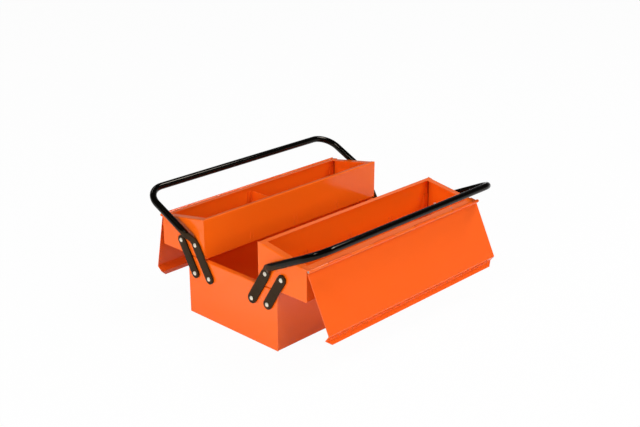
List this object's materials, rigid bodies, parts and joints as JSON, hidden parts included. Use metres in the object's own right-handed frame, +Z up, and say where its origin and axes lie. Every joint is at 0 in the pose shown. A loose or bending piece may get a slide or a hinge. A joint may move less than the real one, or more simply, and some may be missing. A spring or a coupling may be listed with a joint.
{
  "type": "cantilever tool box",
  "caption": "Sheet-metal cantilever tool box: open base, trays swung out on flat parallel links, lids hinged along the trays' outer rims, and a tube bail handle on each side.",
  "frame": {"origin": "middle of the underside of the base, on the surface the box stands on", "axes": "+X along the box, +Y across it towards the rear tray, +Z up"},
  "size_m": [0.4302, 0.3998, 0.1901],
  "materials": {
    "base_paint": "gloss enamel over pressed sheet, light orange peel",
    "tray_paint": "gloss enamel over pressed sheet, light orange peel",
    "lid_paint": "gloss enamel over pressed sheet, light orange peel",
    "hinge_paint": "enamel worn at the edges of the rolled knuckles",
    "handle_paint": "gloss black enamel on tube",
    "link_finish": "satin black-brown",
    "washer_finish": "satin black-brown",
    "rivet_steel": "bright domed heads"
  },
  "bodies": {
    "base": {"base_body": "base_paint", "base_end_left": "base_paint", "base_end_right": "base_paint", "base_rivets": "rivet_steel", "base_washers": "washer_finish"},
    "front_handle": {"front_handle": "handle_paint"},
    "front_tray": {"front_tray_body": "tray_paint", "front_tray_end_left": "tray_paint", "front_tray_end_right": "tray_paint", "front_hinge_leaf": "hinge_paint", "front_hinge_wire": "hinge_paint", "front_leaf_rivets": "rivet_steel", "front_tray_rivets": "rivet_steel", "front_tray_washers": "washer_finish"},
    "front_link_left": {"front_link_left": "link_finish"},
    "front_link_right": {"front_link_right": "link_finish"},
    "front_lid": {"front_lid": "lid_paint"},
    "rear_handle": {"rear_handle": "handle_paint"},
    "rear_tray": {"rear_tray_body": "tray_paint", "rear_tray_end_left": "tray_paint", "rear_tray_end_right": "tray_paint", "rear_tray_divider": "tray_paint", "rear_hinge_leaf": "hinge_paint", "rear_hinge_wire": "hinge_paint", "rear_leaf_rivets": "rivet_steel", "rear_tray_rivets": "rivet_steel", "rear_tray_washers": "washer_finish"},
    "rear_link_left": {"rear_link_left": "link_finish"},
    "rear_link_right": {"rear_link_right": "link_finish"},
    "rear_lid": {"rear_lid": "lid_paint"}
  },
  "joints": [
    {"name": "front_handle_swing", "type": "hinge", "parent": "base", "child": "front_handle", "pos_m": [0, -0.04854, 0.0725], "axis": [-1, 0, 0], "range_deg": [0, 63.6]},
    {"name": "front_tray_pivot", "type": "hinge", "parent": "front_handle", "child": "front_tray", "pos_m": [0, -0.07857, 0.12094], "axis": [-1, 0, 0], "range_deg": [-63.6, 0]},
    {"name": "front_link_left_swing", "type": "hinge", "parent": "base", "child": "front_link_left", "pos_m": [0, -0.08184, 0.0725], "axis": [-1, 0, 0], "range_deg": [0, 63.6]},
    {"name": "front_link_right_swing", "type": "hinge", "parent": "base", "child": "front_link_right", "pos_m": [0, -0.08184, 0.0725], "axis": [-1, 0, 0], "range_deg": [0, 63.6]},
    {"name": "front_lid_hinge", "type": "hinge", "parent": "front_tray", "child": "front_lid", "pos_m": [0, -0.16317, 0.14834], "axis": [-1, 0, 0], "range_deg": [0, 232.9]},
    {"name": "rear_handle_swing", "type": "hinge", "parent": "base", "child": "rear_handle", "pos_m": [0, 0.04854, 0.0725], "axis": [1, 0, 0], "range_deg": [0, 63.6]},
    {"name": "rear_tray_pivot", "type": "hinge", "parent": "rear_handle", "child": "rear_tray", "pos_m": [0, 0.07857, 0.12094], "axis": [1, 0, 0], "range_deg": [-63.6, 0]},
    {"name": "rear_link_left_swing", "type": "hinge", "parent": "base", "child": "rear_link_left", "pos_m": [0, 0.08184, 0.0725], "axis": [1, 0, 0], "range_deg": [0, 63.6]},
    {"name": "rear_link_right_swing", "type": "hinge", "parent": "base", "child": "rear_link_right", "pos_m": [0, 0.08184, 0.0725], "axis": [1, 0, 0], "range_deg": [0, 63.6]},
    {"name": "rear_lid_hinge", "type": "hinge", "parent": "rear_tray", "child": "rear_lid", "pos_m": [0, 0.16317, 0.14834], "axis": [1, 0, 0], "range_deg": [0, 248.3]}
  ],
  "couplings": [
    {"joint": "front_tray_pivot", "follows": "front_handle_swing", "ratio": -1},
    {"joint": "front_link_left_swing", "follows": "front_handle_swing", "ratio": 1},
    {"joint": "front_link_right_swing", "follows": "front_handle_swing", "ratio": 1},
    {"joint": "front_lid_hinge", "follows": "front_handle_swing", "ratio": 3.6619},
    {"joint": "rear_tray_pivot", "follows": "rear_handle_swing", "ratio": -1},
    {"joint": "rear_link_left_swing", "follows": "rear_handle_swing", "ratio": 1},
    {"joint": "rear_link_right_swing", "follows": "rear_handle_swing", "ratio": 1},
    {"joint": "rear_lid_hinge", "follows": "rear_handle_swing", "ratio": 3.904}
  ]
}
